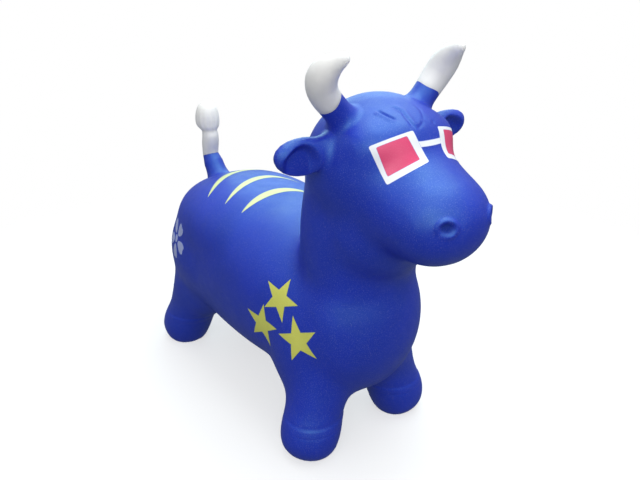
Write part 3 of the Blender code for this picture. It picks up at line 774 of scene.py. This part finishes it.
def ear(side, sign, surface, material):
    pivot = joint_place("ear_" + side + "_flex")
    axis = Vector((sign, 0, 0))
    stations = []
    for share in eased(EAR_ROWS):
        out = EAR_ROOT + (EAR_TIP[side] - EAR_ROOT) * share
        height = spaced(EAR_RADII, share, 1)
        depth = spaced(EAR_RADII, share, 2)
        ring = []
        for angle in turns(RING_STEPS):
            rise = math.cos(angle * sign)
            back = math.sin(angle * sign)
            y = depth * back
            if back < 0:
                y *= 1 - EAR_DISH_SHARE * ear_dish(out, rise)
            ring.append(pivot + Vector((sign * out, y, height * rise + EAR_LIFT[side] * share * share)))
        stations.append(ring)
    pieces = limb("ear_" + side, surface, stations, EAR_ROWS, EAR_FLARE, axis, (material,))
    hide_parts("ear_" + side)


def tail(surface, materials):
    pivot = joint_place("tail_flex")
    lean = math.radians(TAIL_LEAN)
    axis = Vector((0, math.sin(lean), math.cos(lean)))
    across = Vector((1, 0, 0))
    root_rows, end_rows = TAIL_ROWS
    foot = pivot - axis * TAIL_ROOT
    start = pivot + UP * TAIL_PAINT
    rows = []
    for row in range(root_rows):
        part = row / root_rows
        radius = TAIL_BASE_RADIUS + (TAIL_RADII[0][1] - TAIL_BASE_RADIUS) * part
        rows.append((foot.lerp(start, part), TAIL_LEAN + (TAIL_TILT - TAIL_LEAN) * part, radius, 0.0))
    for share in eased(end_rows):
        sway = TAIL_SWAY * smoothstep(*TAIL_SWAY_SPAN, share)
        sway -= TAIL_STOOP * smoothstep(*TAIL_STOOP_SPAN, share)
        centre = start + Vector((0, sway, (TAIL_LENGTH - TAIL_PAINT) * share))
        tilt = TAIL_TILT * (1 - smoothstep(0.0, TAIL_TURN, share))
        fluted = TUFT_FLUTE_DEPTH * smoothstep(*TUFT_START, share) * smoothstep(*TUFT_END, share)
        rows.append((centre, tilt, spaced(TAIL_RADII, share), fluted))
    stations = []
    for centre, tilt, radius, fluted in rows:
        tilt = math.radians(tilt)
        beside = Vector((0, math.cos(tilt), -math.sin(tilt)))
        ring = []
        for angle in turns(RING_STEPS):
            reach = radius * (1 + fluted * (abs(math.sin(TUFT_FLUTES * angle / 2)) - TUFT_FLUTE_LEVEL))
            ring.append(centre + (across * math.cos(angle) + beside * math.sin(angle)) * reach)
        stations.append(ring)
    pieces = limb("tail", surface, stations, root_rows, TAIL_FLARE, axis, materials)
    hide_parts("tail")


def paint_layer(name, rows, closed, to_space, surface, direction, material):
    """A thin closed layer of paint laid on the skin; rows of flat points are cast on it along a direction."""
    flat = [point for row in rows for point in row]
    faces = strip_faces(rows, closed)
    if has_middle(rows, closed):
        faces.append(tuple(range(len(flat) - len(rows[-1]), len(flat))))
    verts = []
    for point in flat:
        spot, normal = surface.cast(to_space(point) - direction * CAST_REACH, direction)
        verts.append(spot + normal * PAINT_LIFT)
    mesh = bpy.data.meshes.new(name)
    mesh.from_pydata(verts, [], faces)
    edge = mesh.attributes.new("edge", "FLOAT", "POINT")
    rim = np.array(outer_points(rows, closed))
    flat = np.array(flat)
    near = np.sqrt(((flat[:, None, :] - rim[None, :, :]) ** 2).sum(axis=2)).min(axis=1)
    edge.data.foreach_set("value", near.astype(np.float32))
    mesh.update()
    obj = link(bpy.data.objects.new(name, mesh))
    face_out(obj, direction)
    thick = obj.modifiers.new("paint", "SOLIDIFY")
    thick.thickness = PAINT_LIFT + PAINT_SINK
    thick.offset = -1.0
    settle(obj)
    obj.data.shade_smooth()
    obj.data.set_sharp_from_angle(angle=math.radians(PAINT_SHARP))
    obj.data.materials.append(material)
    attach(obj, "body")


def face_out(obj, direction):
    """Turn the faces towards where the paint was cast from."""
    bm = bmesh.new()
    bm.from_mesh(obj.data)
    bm.normal_update()
    total = sum((face.normal * face.calc_area() for face in bm.faces), Vector((0, 0, 0)))
    if total.dot(direction) > 0:
        bmesh.ops.reverse_faces(bm, faces=bm.faces)
    bm.to_mesh(obj.data)
    bm.free()


def has_middle(rows, closed):
    """Whether the last row of a layer is a loop that is small enough to be filled with one face."""
    return closed and np.ptp(np.array(rows[-1]), axis=0).max() < PAINT_MIDDLE


def outer_points(rows, closed):
    """Points on the rim of a layer."""
    return list(rows[0]) if has_middle(rows, closed) else list(rows[0]) + list(rows[-1])


def shrunk(loop, shares):
    """A closed loop of points and copies of it, drawn in towards its middle."""
    loop = np.array(loop)
    middle = loop.mean(axis=0)
    return [[tuple(point) for point in middle + (loop - middle) * share] for share in shares]


def divided(corners, steps):
    """Points along the sides of a closed outline."""
    made = []
    for start, end in zip(corners, corners[1:] + corners[:1]):
        for step in range(steps):
            share = step / steps
            made.append(tuple(a + (b - a) * share for a, b in zip(start, end)))
    return made


def softened(loop, rounds):
    """A closed loop with its corners rounded a little."""
    loop = np.array(loop)
    for _ in range(rounds):
        loop = 0.5 * loop + 0.25 * (np.roll(loop, 1, axis=0) + np.roll(loop, -1, axis=0))
    return [tuple(point) for point in loop]


def mirrored(point, sign):
    return Vector((-sign * point[0], point[1], point[2]))


def wall_map(centre, normal):
    """A map from flat points, sideways towards the rear and upwards, to a wall that faces along a normal."""
    _, side, rise = tangent_frame(normal)
    rearward = side if side.y > 0 else -side

    def to_space(point):
        return centre + rearward * point[0] + rise * point[1]
    return to_space


def star(name, centre, normal, size, turn, surface, material):
    corners = []
    for step in range(2 * STAR_POINTS):
        radius = size if step % 2 == 0 else size * STAR_INNER_SHARE
        angle = math.radians(turn + 180 / STAR_POINTS * step)
        corners.append((radius * math.cos(angle), radius * math.sin(angle)))
    rows = shrunk(divided(corners, STAR_SIDE_STEPS), STAR_ROWS)
    paint_layer(name, rows, True, wall_map(centre, normal), surface, -normal, material)


def stripe(name, handles, surface, material):
    """A crescent across the back, thickest half-way along a curve with four handles."""
    handles = [Vector((*handle, 0.0)) for handle in handles]
    rows = []
    for lane in STRIPE_LANES:
        row = []
        for step in range(STRIPE_STEPS + 1):
            t = step / STRIPE_STEPS
            x, y = curve_point(handles, t).xy
            half = STRIPE_THICKNESS / 2 * max(0.0, 1 - (2 * t - 1) ** 2) ** STRIPE_FULLNESS + STRIPE_TIP
            row.append((x, y + lane * half))
        rows.append(row)

    def to_space(point):
        return Vector((point[0], point[1], STRIPE_LEVEL))
    paint_layer(name, rows, False, to_space, surface, -UP, material)


def flower(side, sign, surface, material):
    """Notched petals round a dot."""
    centre = mirrored(FLOWER, sign)
    normal = mirrored(FLOWER_NORMAL, sign)
    to_space = wall_map(centre, normal)
    for petal in range(PETALS):
        turn = math.radians(FLOWER_TURN + 360 / PETALS * petal)
        x, y = math.cos(turn), math.sin(turn)
        loop = []
        for angle in turns(FLOWER_STEPS):
            bend = (angle + math.pi) % (2 * math.pi) - math.pi
            along = PETAL_OUT + PETAL_LENGTH / 2 * math.cos(angle)
            along -= PETAL_NOTCH * math.exp(-(bend / PETAL_NOTCH_SPAN) ** 2)
            wide = PETAL_WIDTH / 2 * math.sin(angle) * (PETAL_FULLNESS + PETAL_FLARE * math.cos(angle))
            loop.append((along * x - wide * y, along * y + wide * x))
        rows = shrunk(loop, PETAL_ROWS)
        paint_layer(f"flower_petal_{petal + 1}_{side}", rows, True, to_space, surface, -normal, material)
    dot = []
    for angle in turns(FLOWER_STEPS):
        dot.append((FLOWER_DOT[0] * math.cos(angle), FLOWER_DOT[1] * math.sin(angle)))
    rows = shrunk(dot, FLOWER_DOT_ROWS)
    paint_layer("flower_middle_" + side, rows, True, to_space, surface, -normal, material)


def glasses(surface, white, red):
    """The frames and lenses of a painted pair of square glasses, each cast along its normal."""
    for side, sign in SIDES:
        out, across, rise = tangent_frame(mirrored(LENS_NORMAL, sign))
        centre = mirrored(LENS_CENTRE, sign)
        if sign > 0:
            centre += Vector(FAR_LENS_SHIFT)

        def to_lens(point, centre=centre, across=-sign * across, rise=rise):
            return centre + across * point[0] + rise * point[1]
        out_loop = softened(divided(LENS_OUTER, LENS_SIDE_STEPS), LENS_ROUNDING)
        in_loop = softened(divided(LENS_INNER, LENS_SIDE_STEPS), LENS_ROUNDING)
        blend = [[tuple(np.array(a) * (1 - share) + np.array(b) * share) for a, b in zip(out_loop, in_loop)]
                 for share in FRAME_ROWS]
        paint_layer("glasses_frame_" + side, blend, True, to_lens, surface, -out, white)
        rows = shrunk(in_loop, LENS_ROWS)
        paint_layer("glasses_lens_" + side, rows, True, to_lens, surface, -out, red)


def bridge(surface, material):
    """The bridge of the glasses, cast from the front."""
    rows = []
    for lane in BRIDGE_LANES:
        row = []
        for step in range(BRIDGE_STEPS + 1):
            share = step / BRIDGE_STEPS
            x = BRIDGE_NEAR[0] + (BRIDGE_FAR[0] - BRIDGE_NEAR[0]) * share
            z = BRIDGE_NEAR[1] + (BRIDGE_FAR[1] - BRIDGE_NEAR[1]) * share
            row.append((x, z + lane * BRIDGE_WIDTH / 2))
        rows.append(row)
    backward = Vector((0, 1, 0))

    def to_space(point):
        return Vector((point[0], FACE_FRONT + CAST_REACH, point[1]))
    paint_layer("glasses_bridge", rows, False, to_space, surface, backward, material)


def node(tree, kind, **settings):
    made = tree.nodes.new(kind)
    for key, value in settings.items():
        setattr(made, key, value)
    return made


def noise(tree, coordinates, scale, detail, roughness=0.5):
    made = node(tree, "ShaderNodeTexNoise")
    made.inputs["Scale"].default_value = scale
    made.inputs["Detail"].default_value = detail
    made.inputs["Roughness"].default_value = roughness
    tree.links.new(coordinates, made.inputs["Vector"])
    return made.outputs["Fac"]


def ranged(tree, value, low, high, to_low, to_high):
    made = node(tree, "ShaderNodeMapRange")
    for key, number in (("From Min", low), ("From Max", high), ("To Min", to_low), ("To Max", to_high)):
        made.inputs[key].default_value = number
    tree.links.new(value, made.inputs["Value"])
    return made.outputs["Result"]


def mixed(tree, factor, first, second):
    """Blend two colours; each is a colour or a socket."""
    made = node(tree, "ShaderNodeMix", data_type="RGBA")
    tree.links.new(factor, made.inputs["Factor"])
    for key, colour in (("A", first), ("B", second)):
        socket = [one for one in made.inputs if one.name == key and one.type == "RGBA"][0]
        if isinstance(colour, tuple):
            socket.default_value = (*colour, 1.0)
        else:
            tree.links.new(colour, socket)
    return [one for one in made.outputs if one.type == "RGBA"][0]


def mix_into(tree, output, factor, first, second):
    """Blend two shaders into an output."""
    mix = node(tree, "ShaderNodeMixShader")
    for value, socket in zip((factor, first, second), mix.inputs):
        tree.links.new(value, socket)
    tree.links.new(mix.outputs["Shader"], tree.nodes[output].inputs["Surface"])


def principled(name):
    """A new material with its nodes and its shader."""
    material = bpy.data.materials.new(name)
    material.use_nodes = True
    tree = material.node_tree
    return material, tree, tree.nodes["Principled BSDF"]


def scaled(colour, share):
    return tuple(min(1.0, part * share) for part in colour)


def worn_rim(tree, place, shade, rim, width):
    """Let a colour give way to the colour of a rim, unevenly, where a layer of paint ends."""
    edge = node(tree, "ShaderNodeAttribute", attribute_name="edge")
    worn = noise(tree, place, *RIM_NOISE)
    reach = ranged(tree, worn, *NOISE_BAND, RIM_SPAN[0] * width, RIM_SPAN[1] * width)
    over = node(tree, "ShaderNodeMath", operation="DIVIDE", use_clamp=True)
    tree.links.new(edge.outputs["Fac"], over.inputs[0])
    tree.links.new(reach, over.inputs[1])
    return mixed(tree, over.outputs["Value"], rim, shade)


def grained(tree, place, shader, strength):
    """Give a shader the fine grain of moulded plastic."""
    coarse = noise(tree, place, *COARSE_NOISE)
    fine = noise(tree, place, *FINE_NOISE)
    both = node(tree, "ShaderNodeMath", operation="ADD")
    tree.links.new(coarse, both.inputs[0])
    tree.links.new(fine, both.inputs[1])
    bump = node(tree, "ShaderNodeBump")
    bump.inputs["Strength"].default_value = strength
    bump.inputs["Distance"].default_value = GRAIN_HEIGHT
    tree.links.new(both.outputs["Value"], bump.inputs["Height"])
    tree.links.new(bump.outputs["Normal"], shader.inputs["Normal"])


def moulded(name, colour, roughness, speck, specular=0.40, grain=0.18, gloss=None, rim=None, rim_width=0.0):
    """Moulded or painted soft plastic: a cloudy tone, fine speckle and grain, and a rim where paint ends."""
    material, tree, shader = principled(name)
    place = node(tree, "ShaderNodeTexCoord").outputs["Object"]
    tone = ranged(tree, noise(tree, place, *TONE_NOISE), *NOISE_BAND, 0.0, 1.0)
    shade = mixed(tree, tone, scaled(colour, TONE_SPAN[0]), scaled(colour, TONE_SPAN[1]))
    dots = ranged(tree, noise(tree, place, *SPECK_NOISE), *SPECK_BAND, 0.0, speck)
    lighter = tuple(part + (1.0 - part) * SPECK_LIGHT for part in colour)
    shade = mixed(tree, dots, shade, lighter)
    if rim is not None:
        shade = worn_rim(tree, place, shade, rim, rim_width)
    tree.links.new(shade, shader.inputs["Base Color"])
    uneven = noise(tree, place, *ROUGH_NOISE)
    rough = ranged(tree, uneven, *NOISE_BAND, roughness - ROUGH_SPREAD, roughness + ROUGH_SPREAD)
    tree.links.new(rough, shader.inputs["Roughness"])
    shader.inputs["Specular IOR Level"].default_value = specular
    if gloss is not None:
        shader.inputs["Specular Tint"].default_value = (*gloss, 1.0)
    grained(tree, place, shader, grain)
    return material


def translucent(material, share, depth):
    """Let light through the thin walls of the horns and the tail."""
    shader = material.node_tree.nodes["Principled BSDF"]
    shader.inputs["Subsurface Weight"].default_value = share
    shader.inputs["Subsurface Scale"].default_value = depth
    shader.inputs["Subsurface Radius"].default_value = (1.0, 1.0, 1.0)


def paint_nostril_shade(material):
    """Paint shade into a material inside the nostrils: darken its colour where shadow falls there, and make
    it rougher.
    """
    tree = material.node_tree
    shader = tree.nodes["Principled BSDF"]
    painted_nostril_shade = node(tree, "ShaderNodeAttribute", attribute_name="painted_nostril_shade").outputs["Fac"]
    colour = shader.inputs["Base Color"]
    depth = ranged(tree, painted_nostril_shade, 0.0, 1.0, 0.0, NOSTRIL_PAINTED_SHADE)
    tree.links.new(mixed(tree, depth, colour.links[0].from_socket, scaled(BLUE, NOSTRIL_PAINTED_DARK)), colour)
    rough = shader.inputs["Roughness"]
    dull = node(tree, "ShaderNodeMath", operation="ADD", use_clamp=True)
    tree.links.new(rough.links[0].from_socket, dull.inputs[0])
    tree.links.new(ranged(tree, painted_nostril_shade, 0.0, 1.0, 0.0, NOSTRIL_DULL), dull.inputs[1])
    tree.links.new(dull.outputs["Value"], rough)


def dress_valve(material):
    """Keep the solids of the valve, with softened edges."""
    for name in ("valve_seat", "valve_plug"):
        obj = frame["nodes"][name]
        obj.data.materials.clear()
        obj.data.materials.append(material)
        bevel = obj.modifiers.new("edges", "BEVEL")
        bevel.width = VALVE_EDGE
        bevel.segments = VALVE_EDGE_STEPS
        bevel.limit_method = "ANGLE"
        obj.data.shade_smooth()


def camera():
    azimuth = math.radians(CAMERA_AZIMUTH)
    elevation = math.radians(CAMERA_ELEVATION)
    back = Vector((math.sin(azimuth) * math.cos(elevation), -math.cos(azimuth) * math.cos(elevation),
                   math.sin(elevation)))
    data = bpy.data.cameras.new("camera")
    data.sensor_width = SENSOR
    data.lens = FOCAL_PIXELS / IMAGE_WIDTH * SENSOR
    obj = link(bpy.data.objects.new("camera", data))
    aim(obj, Vector(CAMERA_PLACE) + Vector((0, BASE_Y, 0)), -back)
    bpy.context.scene.camera = obj


def area_light(name, place, target, size, power, colour):
    data = bpy.data.lights.new(name, "AREA")
    data.shape = "RECTANGLE"
    data.size, data.size_y = size
    data.energy = power
    data.color = colour
    aim(link(bpy.data.objects.new(name, data)), place, Vector(target) - Vector(place))


def floor_material():
    """Pale floor that takes the shadow near the toy and turns into the white backdrop further away."""
    material, tree, shader = principled("floor")
    path = node(tree, "ShaderNodeLightPath")
    colour = mixed(tree, path.outputs["Is Camera Ray"], FLOOR_BOUNCE, FLOOR_COLOUR)
    tree.links.new(colour, shader.inputs["Base Color"])
    shader.inputs["Roughness"].default_value = FLOOR_ROUGHNESS
    shader.inputs["Specular IOR Level"].default_value = FLOOR_GLOSS
    place = node(tree, "ShaderNodeTexCoord").outputs["Object"]
    distance = node(tree, "ShaderNodeVectorMath", operation="LENGTH")
    tree.links.new(place, distance.inputs[0])
    share = ranged(tree, distance.outputs["Value"], *FLOOR_FADE, FLOOR_CLEAR, 1.0)
    clear = node(tree, "ShaderNodeBsdfTransparent")
    mix_into(tree, "Material Output", share, shader.outputs["BSDF"], clear.outputs["BSDF"])
    return material


def lay_floor():
    """A pale floor just under the soles."""
    bm = bmesh.new()
    bmesh.ops.create_grid(bm, x_segments=2, y_segments=2, size=FLOOR_SIZE)
    floor = object_of("floor", bm)
    floor.location.z = -FLOOR_DROP
    floor.data.materials.append(floor_material())


def light_world():
    """A white backdrop for the camera, and light from all round that grows weaker towards the ground."""
    world = bpy.data.worlds.new("studio")
    bpy.context.scene.world = world
    world.use_nodes = True
    tree = world.node_tree
    background = tree.nodes["Background"]
    path = node(tree, "ShaderNodeLightPath")
    shown = node(tree, "ShaderNodeBackground")
    shown.inputs["Color"].default_value = (*BACKDROP, 1.0)
    height = node(tree, "ShaderNodeSeparateXYZ")
    tree.links.new(node(tree, "ShaderNodeTexCoord").outputs["Generated"], height.inputs["Vector"])
    tint = ranged(tree, height.outputs["Z"], *SKY_BAND, 0.0, 1.0)
    tree.links.new(mixed(tree, tint, SKY_LOW, SKY_HIGH), background.inputs["Color"])
    background.inputs["Strength"].default_value = SKY_STRENGTH
    mix_into(tree, "World Output", path.outputs["Is Camera Ray"], background.outputs["Background"],
             shown.outputs["Background"])


def studio():
    """Pale floor, white backdrop and soft light, mostly from above."""
    bpy.context.scene.view_settings.view_transform = "Standard"
    lay_floor()
    light_world()
    for lamp in LAMPS:
        area_light(*lamp)


blue_vinyl = moulded("blue_vinyl", BLUE, roughness=0.47, speck=0.20, specular=0.95, grain=0.34,
                     gloss=BLUE_GLOSS)
# Painted shade inside the nostrils
paint_nostril_shade(blue_vinyl)
white_vinyl = moulded("white_vinyl", WHITE, roughness=0.50, speck=0.10)
translucent(white_vinyl, share=0.50, depth=0.02)
yellow_paint = moulded("yellow_paint", YELLOW, roughness=0.48, speck=0.22, rim=EDGE_OLIVE, rim_width=0.0008)
pale_paint = moulded("pale_yellow_paint", PALE_YELLOW, roughness=0.50, speck=0.18, rim=EDGE_PALE,
                     rim_width=0.0012)
red_paint = moulded("red_paint", RED, roughness=0.36, speck=0.10, specular=0.50, grain=0.16)
lilac_paint = moulded("lilac_paint", LILAC, roughness=0.48, speck=0.18, rim=EDGE_BLUE, rim_width=0.0010)
frame_paint = moulded("white_paint", FRAME_WHITE, roughness=0.48, speck=0.08, rim=EDGE_BLUE, rim_width=0.0005)
valve_vinyl = moulded("valve_plastic", VALVE_COLOUR, roughness=0.34, speck=0.05, specular=0.50, grain=0.06)

camera()
studio()
skin = skin_piece()
skin.data.materials.append(blue_vinyl)
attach(skin, "body")
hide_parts("trunk_skin", "head_skin", "leg_front_left", "leg_front_right", "leg_rear_left",
            "leg_rear_right")
surface = Surface(skin.data)
for side, sign in SIDES:
    horn(side, sign, surface, (blue_vinyl, white_vinyl))
    ear(side, sign, surface, blue_vinyl)
tail(surface, (blue_vinyl, white_vinyl))
for side, sign in SIDES:
    for name, centre, normal, size, turn in STARS:
        star(f"star_{name}_{side}", mirrored(centre, sign), mirrored(normal, sign), size, turn, surface,
             yellow_paint)
    flower(side, sign, surface, lilac_paint)
for name, handles in STRIPES:
    stripe("stripe_" + name, handles, surface, pale_paint)
glasses(surface, frame_paint, red_paint)
bridge(surface, frame_paint)
dress_valve(valve_vinyl)
